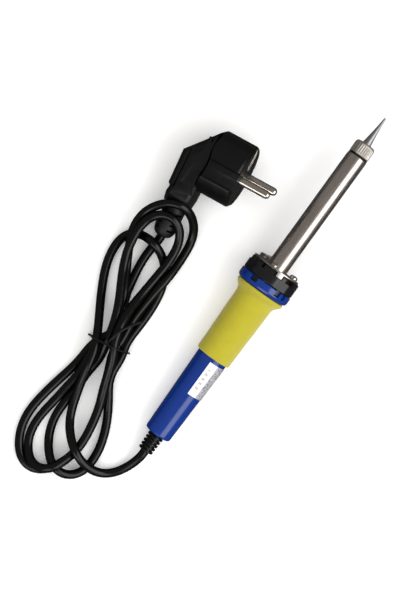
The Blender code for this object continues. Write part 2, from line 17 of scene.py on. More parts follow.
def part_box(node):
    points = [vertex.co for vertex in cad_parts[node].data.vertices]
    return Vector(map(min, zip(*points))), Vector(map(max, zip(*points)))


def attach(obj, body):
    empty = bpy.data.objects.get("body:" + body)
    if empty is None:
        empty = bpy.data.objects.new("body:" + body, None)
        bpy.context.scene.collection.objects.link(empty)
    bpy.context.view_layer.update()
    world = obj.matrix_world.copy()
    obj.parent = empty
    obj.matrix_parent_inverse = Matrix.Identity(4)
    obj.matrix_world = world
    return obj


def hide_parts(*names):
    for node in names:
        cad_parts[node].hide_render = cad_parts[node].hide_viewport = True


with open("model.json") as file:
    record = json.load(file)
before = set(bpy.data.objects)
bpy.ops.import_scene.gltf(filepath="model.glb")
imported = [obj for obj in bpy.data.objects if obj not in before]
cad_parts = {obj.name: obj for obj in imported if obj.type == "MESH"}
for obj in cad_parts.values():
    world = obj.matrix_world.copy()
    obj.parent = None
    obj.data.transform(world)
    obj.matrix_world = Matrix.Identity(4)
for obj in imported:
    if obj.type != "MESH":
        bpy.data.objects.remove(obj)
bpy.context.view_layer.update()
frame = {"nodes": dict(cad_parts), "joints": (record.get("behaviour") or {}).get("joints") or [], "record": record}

MM = 0.001

# The view: straight down, turned so that the iron runs across the frame towards the upper right
VIEW_CENTRE = (-33.2, 24.4, 18.0)
VIEW_HEIGHT = 339.5
VIEW_DISTANCE = 950.0
VIEW_TURN = -54.23
SENSOR = 36.0

JOINTS = {joint["name"]: joint for joint in frame["joints"]}
MOUNTS = {mount["name"]: mount for mount in frame["record"]["mounts"]}
NUT_JOINT_X = 199.0
NUT_R = 6.2
KNURLS = 27
KNURL_DEPTH = 0.55
KNURL_FRONT = 201.6


def axes(origin, x_axis, y_axis):
    """Matrix of a frame with its origin in metres and its x and y axes."""
    x = Vector(x_axis).normalized()
    y = Vector(y_axis).normalized()
    matrix = Matrix((x, y, x.cross(y))).transposed().to_4x4()
    matrix.translation = origin
    return matrix


def middle(node):
    low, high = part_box(node)
    return (low + high) / 2


# Where the iron and the plug are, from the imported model
IRON_AXIS = Vector(JOINTS["tip_slide"]["axis"]).normalized()
IRON_REAR = Vector(JOINTS["nut_turn"]["pos_m"]) - IRON_AXIS * NUT_JOINT_X * MM
IRON = axes(IRON_REAR, IRON_AXIS, (0, 1, 0))
PIN_AXIS = Vector(MOUNTS["plug_face"]["axis"])
PIN_TO_PIN = middle("plug_pin_1") - middle("plug_pin_2")
PLUG = axes(MOUNTS["plug_face"]["pos_m"], PIN_AXIS, PIN_TO_PIN.cross(PIN_AXIS))


# ---- shapes ----

def rounded(points, steps=5):
    """Open outline whose corners (x, y, size) are replaced by curves that start that far from them."""
    corners = [Vector(point[:2]) for point in points]
    path = []
    for index, point in enumerate(points):
        size = point[2] if len(point) > 2 else 0
        if not size or index in (0, len(points) - 1):
            path.append(corners[index])
            continue
        before = corners[index - 1] - corners[index]
        after = corners[index + 1] - corners[index]
        start = corners[index] + before.normalized() * min(size, before.length * 0.48)
        end = corners[index] + after.normalized() * min(size, after.length * 0.48)
        for step in range(steps + 1):
            t = step / steps
            path.append(start * (1 - t) ** 2 + corners[index] * 2 * t * (1 - t) + end * t ** 2)
    return [tuple(point) for point in path]


def as_mesh(name, bm):
    """Mesh in metres, its faces pointing out, from a bmesh in millimetres."""
    bmesh.ops.scale(bm, vec=(MM, MM, MM), verts=bm.verts)
    bmesh.ops.recalc_face_normals(bm, faces=bm.faces)
    mesh = bpy.data.meshes.new(name)
    bm.to_mesh(mesh)
    bm.free()
    return mesh


def shade(mesh, sharp):
    """Smooth shading, with sharp edges past an angle in degrees."""
    mesh.shade_smooth()
    mesh.set_sharp_from_angle(angle=math.radians(sharp))


def placed(name, data, place=Matrix()):
    """New object in the scene."""
    item = bpy.data.objects.new(name, data)
    bpy.context.scene.collection.objects.link(item)
    item.matrix_world = place
    return item


def finish_mesh(name, bm, material, place, body="iron", sharp=35):
    """Turns a bmesh in millimetres into a piece that rides on a body."""
    mesh = as_mesh(name, bm)
    shade(mesh, sharp)
    mesh.materials.append(material)
    piece = placed(name, mesh, place)
    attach(piece, body)
    return piece


def evenly(count):
    return [360 * index / count for index in range(count)]


def apart(first, second):
    """Degrees between two angles, the short way round."""
    return abs((first - second + 180) % 360 - 180)


def with_edges(count, edges):
    """Column angles: even ones, and a close pair at each edge, with the even ones near it left out."""
    edges = [edge % 360 for edge in edges]
    even = [angle for angle in evenly(count) if all(apart(angle, edge) > 90 / count for edge in edges)]
    return sorted(even + [(edge + side) % 360 for edge in edges for side in (-0.12, 0.12)])


def within(angle, spans):
    """Says whether an angle lies in one of the spans (start, end), all in degrees."""
    return any((angle - start) % 360 <= end - start for start, end in spans)


def lathe(outline, columns, shape=None):
    """Spins an outline of (x, radius) points round x. shape(x, radius, angle) may change a radius."""
    bm = bmesh.new()
    grid = []
    poles = {}
    for angle in columns:
        turn = math.radians(angle)
        column = []
        for index, (x, radius) in enumerate(outline):
            if radius == 0:
                if index not in poles:
                    poles[index] = bm.verts.new((x, 0, 0))
                column.append(poles[index])
                continue
            reach = shape(x, radius, angle) if shape else radius
            column.append(bm.verts.new((x, reach * math.sin(turn), reach * math.cos(turn))))
        grid.append(column)
    count = len(outline)
    closed = outline[0][1] > 0 and outline[-1][1] > 0
    for column, following in zip(grid, grid[1:] + grid[:1]):
        for index in range(count if closed else count - 1):
            after = (index + 1) % count
            corners = (column[index], column[after], following[after], following[index])
            bm.faces.new(list(dict.fromkeys(corners)))
    return bm


def around(x, radius, angle):
    turn = math.radians(angle)
    return Vector((x, radius * math.sin(turn), radius * math.cos(turn)))


def add_sector(bm, xs, radii, angles):
    """Solid part of a ring, between two places along x, two radii and two angles."""
    steps = 12
    rows = []
    for step in range(steps + 1):
        angle = angles[0] + (angles[1] - angles[0]) * step / steps
        corners = ((xs[0], radii[0]), (xs[1], radii[0]), (xs[1], radii[1]), (xs[0], radii[1]))
        rows.append([bm.verts.new(around(x, radius, angle)) for x, radius in corners])
    for row, following in zip(rows, rows[1:]):
        for side in range(4):
            after = (side + 1) % 4
            bm.faces.new((row[side], row[after], following[after], following[side]))
    bm.faces.new(rows[0])
    bm.faces.new(rows[-1])


def loft(sections):
    """Solid through closed sections, each a list of the same number of points."""
    bm = bmesh.new()
    rings = [[bm.verts.new(point) for point in section] for section in sections]
    for ring, following in zip(rings, rings[1:]):
        for index in range(len(ring)):
            after = (index + 1) % len(ring)
            bm.faces.new((ring[index], ring[after], following[after], following[index]))
    bm.faces.new(rings[0])
    bm.faces.new(rings[-1])
    return bm


def box(low, high):
    low, high = Vector(low), Vector(high)
    bm = bmesh.new()
    sides = Matrix.Diagonal((*(high - low), 1.0))
    bmesh.ops.create_cube(bm, size=1.0, matrix=Matrix.Translation((low + high) / 2) @ sides)
    return bm


def bevel(piece, width, segments=2, angle=30):
    """Rounds the edges that are sharper than an angle, once the piece is settled."""
    modifier = piece.modifiers.new("rounded_edges", "BEVEL")
    modifier.width = width * MM
    modifier.segments = segments
    modifier.limit_method = "ANGLE"
    modifier.angle_limit = math.radians(angle)


def carve(piece, bm, operation="DIFFERENCE"):
    """Cuts a solid out of a piece, or joins it to it. The solid is in the piece's own frame."""
    cutter = placed("cutter", as_mesh("cutter", bm), piece.matrix_world)
    modifier = piece.modifiers.new("carve", "BOOLEAN")
    modifier.operation = operation
    modifier.solver = "EXACT"
    modifier.object = cutter
    settle(piece)
    bpy.data.objects.remove(cutter)


def settle(piece, sharp=35):
    """Applies a piece's modifiers."""
    bpy.context.view_layer.update()
    evaluated = piece.evaluated_get(bpy.context.evaluated_depsgraph_get())
    mesh = bpy.data.meshes.new_from_object(evaluated)
    piece.modifiers.clear()
    piece.data = mesh
    shade(mesh, sharp)


# ---- materials ----

def shaded(name, colour, roughness, metallic=0.0, **sockets):
    """New material, its node tree and its shader."""
    material = bpy.data.materials.new(name)
    material.use_nodes = True
    material.diffuse_color = (*colour, 1.0)
    shader = material.node_tree.nodes["Principled BSDF"]
    shader.inputs["Base Color"].default_value = (*colour, 1.0)
    shader.inputs["Roughness"].default_value = roughness
    shader.inputs["Metallic"].default_value = metallic
    for socket, value in sockets.items():
        shader.inputs[socket.replace("_", " ")].default_value = value
    return material, material.node_tree, shader


def add(tree, kind, inputs=None, **settings):
    """New node with its settings, and its inputs set to values or linked to sockets."""
    node = tree.nodes.new(kind)
    for key, value in settings.items():
        setattr(node, key, value)
    for key, value in (inputs or {}).items():
        if isinstance(value, bpy.types.NodeSocket):
            tree.links.new(value, node.inputs[key])
        else:
            node.inputs[key].default_value = value
    return node


def coordinates(tree, stretch=(1, 1, 1)):
    """The piece's own coordinates, in millimetres and stretched."""
    place = add(tree, "ShaderNodeTexCoord").outputs["Object"]
    scale = tuple(1 / MM / value for value in stretch)
    return add(tree, "ShaderNodeMapping", {"Vector": place, "Scale": scale}).outputs["Vector"]


def noise(tree, size, detail=3.0, stretch=(1, 1, 1)):
    """Noise whose blotches measure about size."""
    inputs = {"Vector": coordinates(tree, stretch), "Scale": 1 / size, "Detail": detail}
    return add(tree, "ShaderNodeTexNoise", inputs).outputs["Fac"]


def ramp(tree, value, start, end, low=0.0, high=1.0):
    """Turns a value that runs from start to end into one that runs from low to high and stops there."""
    inputs = {"Value": value, "From Min": start, "From Max": end, "To Min": low, "To Max": high}
    return add(tree, "ShaderNodeMapRange", inputs).outputs["Result"]


def mixed(tree, factor, first, second):
    """The mix of two colours, each of them a value or a socket."""
    node = add(tree, "ShaderNodeMix", data_type="RGBA")
    for index, value in ((0, factor), (6, first), (7, second)):
        if isinstance(value, bpy.types.NodeSocket):
            tree.links.new(value, node.inputs[index])
        else:
            node.inputs[index].default_value = value if index == 0 else (*value, 1.0)
    return node.outputs[2]


def bump(tree, shader, height, depth, strength=1.0):
    """Bump of a depth in millimetres."""
    inputs = {"Height": height, "Distance": depth * MM, "Strength": strength}
    tree.links.new(add(tree, "ShaderNodeBump", inputs).outputs["Normal"], shader.inputs["Normal"])


def darker(colour, share):
    return tuple(value * share for value in colour)


def moulded(name, colour, roughness, grain=0.35, depth=0.01, shade=0.75, **sockets):
    """Moulded plastic or rubber: faint mottling, uneven gloss and a fine grain."""
    material, tree, shader = shaded(name, colour, roughness, **sockets)
    tint = mixed(tree, noise(tree, 9.0), darker(colour, shade), colour)
    tree.links.new(tint, shader.inputs["Base Color"])
    gloss = ramp(tree, noise(tree, 3.5, detail=5.0), 0.3, 0.7, roughness * 0.85, roughness * 1.2)
    tree.links.new(gloss, shader.inputs["Roughness"])
    bump(tree, shader, noise(tree, grain, detail=2.0), depth)
    return material


def metal(name, colour, roughness, brushed=(1, 1, 1), depth=0.002):
    """Bare or plated metal with fine scratches that run along the stretched direction."""
    material, tree, shader = shaded(name, colour, roughness, 1.0)
    stain = mixed(tree, noise(tree, 14.0, detail=4.0), darker(colour, 0.8), colour)
    tree.links.new(stain, shader.inputs["Base Color"])
    scratches = noise(tree, 0.4, detail=1.0, stretch=brushed)
    gloss = ramp(tree, scratches, 0.3, 0.7, roughness * 0.8, roughness * 1.25)
    tree.links.new(gloss, shader.inputs["Roughness"])
    bump(tree, shader, scratches, depth)
    return material


def knurled_material():
    """Nickel plate with painted shade down in the knurl's grooves, and a lighter tone painted on the knurl's
    ridges and the nut's front face, as if lit.
    """
    material = metal("knurled_nickel", (0.80, 0.73, 0.66), 0.24)
    tree = material.node_tree
    shader = tree.nodes["Principled BSDF"]
    place = coordinates(tree)
    flat = add(tree, "ShaderNodeVectorMath", {0: place, 1: (0.0, 1.0, 1.0)}, operation="MULTIPLY")
    reach = add(tree, "ShaderNodeVectorMath", {0: flat.outputs["Vector"]}, operation="LENGTH")
    along = add(tree, "ShaderNodeSeparateXYZ", {"Vector": place}).outputs["X"]
    ridge = ramp(tree, reach.outputs["Value"], NUT_R - 0.34, NUT_R - 0.14)
    front = ramp(tree, along, KNURL_FRONT - 0.6, KNURL_FRONT - 0.3)
    lit_ridges_and_face = add(tree, "ShaderNodeMath", {0: ridge, 1: front}, operation="MAXIMUM").outputs["Value"]
    # Painted shade in the grooves; the ridges and the front face get a lighter tone, painted as if lit
    groove_shade = (0.01, 0.008, 0.006)
    tint = mixed(tree, lit_ridges_and_face, groove_shade, (0.95, 0.89, 0.83))
    tree.links.new(tint, shader.inputs["Base Color"])
    return material


def foam_material():
    """Closed-cell foam: fine pores, a soft mottle and a dusty sheen."""
    colour = (0.465, 0.41, 0.026)
    material, tree, shader = shaded("yellow_foam", colour, 0.9, Sheen_Weight=0.25, Sheen_Roughness=0.5)
    shader.inputs["Specular IOR Level"].default_value = 0.25
    cells = add(tree, "ShaderNodeTexVoronoi", {"Vector": coordinates(tree), "Scale": 1 / 0.42})
    blotches = mixed(tree, noise(tree, 5.0, detail=6.0), darker(colour, 0.86), colour)
    pores = ramp(tree, cells.outputs["Distance"], 0.0, 0.35, 0.72, 1.0)
    tint = mixed(tree, pores, darker(colour, 0.7), blotches)
    tree.links.new(tint, shader.inputs["Base Color"])
    bump(tree, shader, cells.outputs["Distance"], 0.12, 0.7)
    return material


def label_material():
    """White paper sticker with plain marks that spell nothing: a row of blots and a speckled grey block."""
    white = (0.84, 0.84, 0.82)
    material, tree, shader = shaded("label_paper", white, 0.35)
    place = add(tree, "ShaderNodeUVMap").outputs["UV"]
    parts = add(tree, "ShaderNodeSeparateXYZ", {"Vector": place})
    along, across = parts.outputs["X"], parts.outputs["Y"]

    def maths(operation, first, second):
        return add(tree, "ShaderNodeMath", {0: first, 1: second}, operation=operation).outputs[0]

    def both(first, second):
        return maths("MULTIPLY", first, second)

    def between(value, low, high):
        return both(maths("GREATER_THAN", value, low), maths("LESS_THAN", value, high))

    blots = add(tree, "ShaderNodeTexNoise", {"Vector": place, "Scale": 44.0, "Detail": 1.0}).outputs["Fac"]
    row = both(between(across, 0.07, 0.17), between(along, 0.2, 0.82))
    marks = maths("GREATER_THAN", maths("FRACT", both(along, 7.0), 0.0), 0.45)
    row = both(both(row, marks), maths("GREATER_THAN", blots, 0.43))
    speckles = add(tree, "ShaderNodeTexVoronoi", {"Vector": place, "Scale": 30.0}).outputs["Color"]
    shades = add(tree, "ShaderNodeSeparateColor", {"Color": speckles}).outputs["Red"]
    squares = maths("GREATER_THAN", shades, 0.5)
    block = maths("GREATER_THAN", across, 0.27)
    tint = mixed(tree, both(block, 0.75), white, (0.30, 0.30, 0.34))
    tint = mixed(tree, both(both(block, squares), 0.6), tint, (0.05, 0.05, 0.07))
    tint = mixed(tree, both(row, 0.6), tint, (0.07, 0.05, 0.05))
    tree.links.new(tint, shader.inputs["Base Color"])
    bump(tree, shader, noise(tree, 0.5), 0.01)
    return material


BLUE = moulded("blue_plastic", (0.001, 0.028, 0.215), 0.19, grain=1.2, depth=0.003, shade=0.9,
               Coat_Weight=0.3, Coat_Roughness=0.06)
FOAM = foam_material()
PAPER = label_material()
PHENOLIC = moulded("phenolic", (0.006, 0.006, 0.007), 0.26, grain=0.4, depth=0.012)
PLUG_PLASTIC = moulded("plug_plastic", (0.002, 0.002, 0.0023), 0.34, grain=0.3, depth=0.02,
                       Specular_IOR_Level=0.4)
RUBBER = moulded("cord_rubber", (0.0015, 0.0015, 0.0018), 0.24, grain=0.5, depth=0.012,
                 Specular_IOR_Level=0.35)
MATTE_RUBBER = moulded("relief_rubber", (0.003, 0.003, 0.0035), 0.5, grain=0.5, depth=0.02)
TIE = moulded("tie_plastic", (0.005, 0.005, 0.0055), 0.34, grain=0.25, depth=0.02)
STAINLESS = metal("stainless", (0.72, 0.645, 0.60), 0.25, brushed=(30, 1, 1), depth=0.001)
SHEET_STEEL = metal("sheet_steel", (0.62, 0.60, 0.57), 0.3)
NICKEL = metal("nickel", (0.76, 0.70, 0.63), 0.2)
KNURLED = knurled_material()
DARK_STEEL = metal("dark_steel", (0.05, 0.045, 0.04), 0.45)
TIP_PLATE = metal("tip_plate", (0.52, 0.54, 0.56), 0.42, depth=0.004)
CERAMIC = moulded("ceramic", (0.75, 0.72, 0.65), 0.6, grain=0.3, shade=0.9)
MICA = moulded("mica", (0.6, 0.5, 0.35), 0.35, grain=2.0)
RESISTANCE_WIRE = metal("resistance_wire", (0.35, 0.30, 0.27), 0.45, brushed=(0.5, 30, 30), depth=0.05)
BRASS = metal("brass", (0.75, 0.55, 0.25), 0.3)
BROWN_WIRE = moulded("brown_wire", (0.16, 0.06, 0.02), 0.45)
BLUE_WIRE = moulded("blue_wire", (0.03, 0.12, 0.5), 0.45)
EARTH_WIRE = moulded("earth_wire", (0.3, 0.5, 0.05), 0.45)
GLASS_FIBRE = moulded("glass_fibre", (0.75, 0.73, 0.68), 0.8, grain=0.3, depth=0.06)
BY_SLOT = {
    "blue_plastic": BLUE, "yellow_foam": FOAM, "label_paper": PAPER, "phenolic": PHENOLIC,
    "plug_plastic": PLUG_PLASTIC, "cord_rubber": RUBBER, "tie_plastic": TIE, "stainless": STAINLESS,
    "nickel": NICKEL, "dark_steel": DARK_STEEL, "tip_plate": TIP_PLATE, "ceramic": CERAMIC, "mica": MICA,
    "resistance_wire": RESISTANCE_WIRE, "brass": BRASS, "brown_wire": BROWN_WIRE, "blue_wire": BLUE_WIRE,
    "earth_wire": EARTH_WIRE, "glass_fibre": GLASS_FIBRE,
}


def finish_nodes():
    """Gives every CAD node the material of its slot."""
    for part in frame["record"]["subparts"]:
        node = frame["nodes"][part["node"]]
        node.data.materials.clear()
        node.data.materials.append(BY_SLOT[part["material_slot"]])


# ---- handle, grip and label ----

HEAD_SLOTS = ((27, 16), (-31, 12), (-50, 8), (207, 16), (149, 12), (130, 8))  # centre, width in degrees
SLOT_SPANS = [(centre - width / 2, centre + width / 2) for centre, width in HEAD_SLOTS]
SLOT_BACK = 104.1
SLOT_FLOOR_R = 13.2
HEAD_R = 16.4
LABEL_X = (30.5, 52.5)
LABEL_ANGLES = (-2, -128)
LABEL_LIFT = (0.3, 0.08)  # its face and its back, over the handle
HANDLE_R = ((2.3, 8.13), (54.8, 9.3))  # x and radius at the two ends of the bare handle


def handle_radius(x):
    (x_1, r_1), (x_2, r_2) = HANDLE_R
    return r_1 + (r_2 - r_1) * (x - x_1) / (x_2 - x_1)


def make_handle():
    rear = [(-0.4, 3.9), (-0.4, 4.4, 0.3), (0.2, 6.6, 0.8), (0.55, 7.6, 0.4), (1.1, 8.0, 0.3)]
    body = [(*place, 0.5) for place in HANDLE_R] + [(94.5, 9.9, 2), (97.5, 11.2, 1), (100, 13.2, 1)]
    head = [(101.7, 14.0, 0.2), (101.7, 14.9, 0.2), (102.1, 15.8, 0.5), (103.3, HEAD_R, 0.6),
            (SLOT_BACK - 0.05, HEAD_R), (SLOT_BACK + 0.05, HEAD_R), (106.9, HEAD_R, 0.3), (107.3, 16.0, 0.2)]
    inside = [(107.3, 8.9), (102, 8.9), (96, 8.0), (54.8, 7.5), (3.0, 6.3), (3.0, 3.9)]

    def shape(x, radius, angle):
        in_slot = x > SLOT_BACK and radius > SLOT_FLOOR_R and within(angle, SLOT_SPANS)
        return SLOT_FLOOR_R if in_slot else radius

    columns = with_edges(120, [edge for span in SLOT_SPANS for edge in span])
    bm = lathe(rounded(rear + body + head + inside), columns, shape)
    handle = finish_mesh("handle_moulding", bm, BLUE, IRON)
    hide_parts("handle")


def make_grip():
    outer = [(54.8, 10.5, 0.5), (55.9, 10.8, 0.8), (94.2, 11.65, 1.5), (96.6, 12.3, 1.2), (98.4, 14.0, 0.9),
             (99.3, 15.0, 0.5), (100.3, 15.3, 0.5), (101.3, 15.1, 0.4)]
    inner = [(101.3, 14.3), (99.8, 13.55), (97.3, 11.65), (94.3, 10.25)]
    outline = subdivided(rounded([(54.8, 9.65), *outer, *inner], steps=8), 2.5)

    def shape(x, radius, angle):
        """Gives the foam a faint waviness."""
        turn = math.radians(angle)
        return radius + 0.05 * math.sin(x * 0.21 + 2 * turn) + 0.04 * math.sin(x * 0.53 - 3 * turn)

    grip = finish_mesh("foam_grip", lathe(outline, evenly(96), shape), FOAM, IRON)
    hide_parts("grip_sleeve")


def subdivided(outline, longest):
    """Outline with points added wherever two are further apart than longest."""
    points = []
    for start, end in zip(outline, outline[1:]):
        pieces = max(1, math.ceil(math.dist(start, end) / longest))
        points += [tuple(a + (b - a) * step / pieces for a, b in zip(start, end)) for step in range(pieces)]
    return points + [outline[-1]]


def make_label():
    columns = 48
    rows = 12
    angles = [LABEL_ANGLES[0] + (LABEL_ANGLES[1] - LABEL_ANGLES[0]) * c / columns for c in range(columns + 1)]
    xs = [LABEL_X[0] + (LABEL_X[1] - LABEL_X[0]) * r / rows for r in range(rows + 1)]
    bm = bmesh.new()
    outer, inner = ([[bm.verts.new(around(x, handle_radius(x) + lift, angle)) for x in xs]
                     for angle in angles] for lift in LABEL_LIFT)
    places = {outer[c][r]: (r / rows, c / columns) for c in range(columns + 1) for r in range(rows + 1)}
    for c in range(columns):
        for r in range(rows):
            bm.faces.new((outer[c][r], outer[c + 1][r], outer[c + 1][r + 1], outer[c][r + 1]))
            bm.faces.new((inner[c][r], inner[c][r + 1], inner[c + 1][r + 1], inner[c + 1][r]))
        for r in (0, rows):
            bm.faces.new((outer[c][r], outer[c + 1][r], inner[c + 1][r], inner[c][r]))
    for r in range(rows):
        for c in (0, columns):
            bm.faces.new((outer[c][r], outer[c][r + 1], inner[c][r + 1], inner[c][r]))
    uv_layer = bm.loops.layers.uv.new("UVMap")
    blank = (0.02, 0.02)
    for face in bm.faces:
        for loop in face.loops:
            loop[uv_layer].uv = places.get(loop.vert, blank)
    label = finish_mesh("paper_label", bm, PAPER, IRON)
    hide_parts("label")


def make_strain_relief():
    points = [(9.0, 0), (9.0, 3.2), (5.0, 3.2), (5.0, 4.8), (3.3, 4.8), (3.3, 3.6), (-0.9, 3.6)]
    ribs = 5
    rib_width = 1.3
    rib_pitch = 2.3
    groove_depth = 1.25
    for index in range(ribs):
        radius = 4.85 - 0.35 * index / (ribs - 1)
        x = -0.9 - rib_pitch * index
        points += [(x, radius, 0.45), (x - rib_width, radius, 0.45)]
        if index < ribs - 1:
            floor = radius - groove_depth
            points += [(x - rib_width, floor, 0.2), (x - rib_pitch, floor, 0.2)]
    points += [(-11.4, 3.3, 0.3), (-11.9, 2.9, 0.2), (-11.9, 0)]
    bm = lathe(rounded(points), evenly(64))
    relief = finish_mesh("ribbed_strain_relief", bm, RUBBER, IRON)
    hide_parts("strain_relief")
    return relief


# ---- collar, flange and screws ----

# Angles in degrees, as (start, end) or as the middle of a flat
COLLAR_NOTCHES = ((-52, -31), (-22, 0), (24, 30), (57, 108), (132, 150), (180, 232))
COLLAR_FLATS = (-29.5, 60.5, 150.5, 240.5)
COLLAR_R = 16.1
COLLAR_STEP = 113.3
COLLAR_STEP_R = 13.4
COLLAR_FLAT = 15.55
FLANGE_FRONT = 117.0
FLANGE_EARS = ((-21, -6), (200, 214))
TAB_ANGLE = 143
SCREW_CIRCLE_R = 11.6
SCREW_ANGLES = (12, 132, 252)
SCREW_SLOTS = (35, 80, 120)
SCREW_R = 1.25
SCREW_HEAD_R = 2.45


def make_collar():
    outer = [(107.6, 9.6), (107.6, 15.8, 0.1), (107.9, COLLAR_R, 0.25), (COLLAR_STEP - 0.06, COLLAR_R),
             (COLLAR_STEP + 0.06, COLLAR_R), (115.4, COLLAR_R, 0.35), (115.9, 15.5, 0.3), (115.9, 13.2)]
    inner = [(115.9, 8.9), (115.0, 8.9), (115.0, 7.2), (113.0, 7.2), (113.0, 9.6)]

    def shape(x, radius, angle):
        if x > COLLAR_STEP and radius > COLLAR_STEP_R and within(angle, COLLAR_NOTCHES):
            return COLLAR_STEP_R
        if radius > 15:
            for flat in COLLAR_FLATS:
                off = apart(angle, flat)
                if off < 40:
                    flat_r = COLLAR_FLAT / math.cos(math.radians(off))
                    return min(radius, flat_r - (COLLAR_R - radius) * 0.7)
        return radius

    columns = with_edges(144, [edge for span in COLLAR_NOTCHES for edge in span])
    bm = lathe(rounded(outer + inner), columns, shape)
    for start, end in SLOT_SPANS:  # lugs that reach into the handle's slots
        add_sector(bm, (SLOT_BACK + 0.5, 107.8), (SLOT_FLOOR_R + 0.4, 15.4), (start + 1.5, end - 1.5))
    collar = finish_mesh("heat_collar", bm, PHENOLIC, IRON)
    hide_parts("collar")


def make_flange():
    outline = rounded([(116.2, 6.6), (116.2, 15.0, 0.15), (FLANGE_FRONT, 15.0, 0.25), (FLANGE_FRONT, 6.6)])
    bm = lathe(outline, evenly(128))
    for angles in FLANGE_EARS:
        add_sector(bm, (113.6, FLANGE_FRONT - 0.1), (14.2, 14.9), angles)
    flange = finish_mesh("flange_plate", bm, SHEET_STEEL, IRON)
    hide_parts("barrel_flange")
    turn = Matrix.Rotation(math.radians(-TAB_ANGLE), 4, "X")
    sections = []
    for side, top in ((4.0, 120.1), (-4.0, 119.0)):
        profile = rounded([(116.5, 12.0), (116.5, 15.3, 1.0), (top, 15.3), (top, 14.5), (117.2, 14.5, 0.4),
                           (117.2, 12.0)])
        sections.append([turn @ Vector((x, side, radius)) for x, radius in profile])
    tab = finish_mesh("flange_tab", loft(sections), SHEET_STEEL, IRON)
    bevel(tab, 0.15)
    settle(tab)


def make_screws():
    head = FLANGE_FRONT + 0.3
    shank = [(102.3, 0), (102.3, 0.7), (103.2, SCREW_R), (head, SCREW_R)]
    dome = [(head, SCREW_HEAD_R, 0.1), (head + 0.9, SCREW_HEAD_R, 0.5), (head + 1.55, 1.9, 0.6),
            (head + 1.8, 0.9, 0.6), (head + 1.8, 0)]
    for number, (angle, slot_turn) in enumerate(zip(SCREW_ANGLES, SCREW_SLOTS), 1):
        place = IRON @ Matrix.Translation(around(0, SCREW_CIRCLE_R, angle) * MM)
        place = place @ Matrix.Rotation(math.radians(slot_turn), 4, "X")
        bm = lathe(rounded(shank + dome), evenly(40))
        screw = finish_mesh(f"pan_head_screw_{number}", bm, NICKEL, place)
        carve(screw, box((head + 0.9, -0.35, -4), (head + 3, 0.35, 4)))
        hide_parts(f"flange_screw_{number}")


# ---- barrel, nut and tip ----

BARREL_R = 6.25
BARREL_BORE_R = 5.75
BUSH_HOLE_R = 5.3  # the washer and the nut go round the bush
TIP_SHANK_R = 2.75
TIP_CONE = (202.5, 219.9)
TIP_CONE_R = (2.7, 0.7)


def make_barrel():
    outline = rounded([(115.3, BARREL_BORE_R), (115.3, 8.4, 0.1), (115.9, 8.4, 0.2), (115.9, BARREL_R, 0.4),
                       (116.6, BARREL_R), (193.3, BARREL_R, 0.4), (194.0, 6.0, 0.15), (194.0, BARREL_BORE_R)])
    barrel = finish_mesh("barrel", lathe(outline, evenly(128)), STAINLESS, IRON)
    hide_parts("barrel_tube")


def make_washer():
    outline = rounded([(194.15, BUSH_HOLE_R), (194.15, 5.95, 0.2), (194.6, 6.15, 0.3), (195.1, 5.95, 0.2),
                       (195.1, BUSH_HOLE_R)])
    washer = finish_mesh("nut_seat_ring", lathe(outline, evenly(96)), DARK_STEEL, IRON)
    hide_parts("nut_washer")


def make_nut():
    mouth_r = 3.05
    outer = [(195.3, BUSH_HOLE_R), (195.3, 6.0, 0.1), (195.6, NUT_R), (196.0, NUT_R), (200.8, NUT_R),
             (201.4, 6.1, 0.2), (201.9, 5.9, 0.3), (202.5, 5.3, 0.3), (202.7, 4.6, 0.3)]
    inner = [(202.7, mouth_r), (201.5, mouth_r), (201.5, BUSH_HOLE_R)]

    def shape(x, radius, angle):
        """Presses the knurl's grooves into the rim, shallower towards its two ends."""
        if radius < 6.0 or x > 201.45:
            return radius
        phase = (angle * KNURLS / 360) % 1
        fade = min(1, (x - 195.2) / 0.5, (KNURL_FRONT - x) / 0.7)
        return radius - KNURL_DEPTH * fade * abs(2 * phase - 1) ** 1.8

    bm = lathe(rounded(outer + inner), evenly(KNURLS * 8), shape)
    nut = finish_mesh("knurled_nut", bm, KNURLED, IRON, "tip_nut", sharp=50)
    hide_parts("tip_nut")


def make_tip():
    outline = [(135.0, 0), (135.0, 2.2), (135.6, TIP_SHANK_R), (199.8, TIP_SHANK_R), (199.8, 4.5),
               (201.2, 4.5), (201.2, TIP_SHANK_R)]
    steps = 28
    for step in range(steps + 1):
        share = step / steps
        radius = TIP_CONE_R[1] + (TIP_CONE_R[0] - TIP_CONE_R[1]) * (1 - share) ** 1.35
        outline.append((TIP_CONE[0] + (TIP_CONE[1] - TIP_CONE[0]) * share, radius))
    outline += [(220.2, 0.62), (220.45, 0.42), (220.6, 0)]
    tip = finish_mesh("conical_tip", lathe(outline, evenly(64)), TIP_PLATE, IRON, "tip")
    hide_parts("tip")


# ---- plug ----

BLOCK_CENTRE_Y = 0.5
BLOCK_BACK = -21.3
BLOCK_R = 19.1
BLOCK_GROOVES = ((-7.6, 4.1, 17.4), (-7.0, -0.6, 16.4), (3.3, 4.2, 15.9))  # from y, to y, z of the floor
PAST = 22.0  # well outside the block, where its cutters end
PIN_SPACING = 19.0
PIN_R = 2.4
RELIEF_X = -27.6
RELIEF_START = -31.1
RELIEF_LENGTH = 20.6
RELIEF_R = 6.6
RELIEF_LIFT = 0.3  # keeps it off the floor


def ledge_outline(back, half_width):
    """Plan of the ledge that the shell lays over the block's rear, drawn back from the block's step."""
    curve = ((-22.2, -1), (-20.4, -0.65), (-19.2, -0.33), (-18.8, 0), (-19.2, 0.33), (-20.6, 0.65),
             (-22.4, 1))
    return [(-26, -half_width)] + [(x - back, half_width * y) for x, y in curve] + [(-26, half_width)]


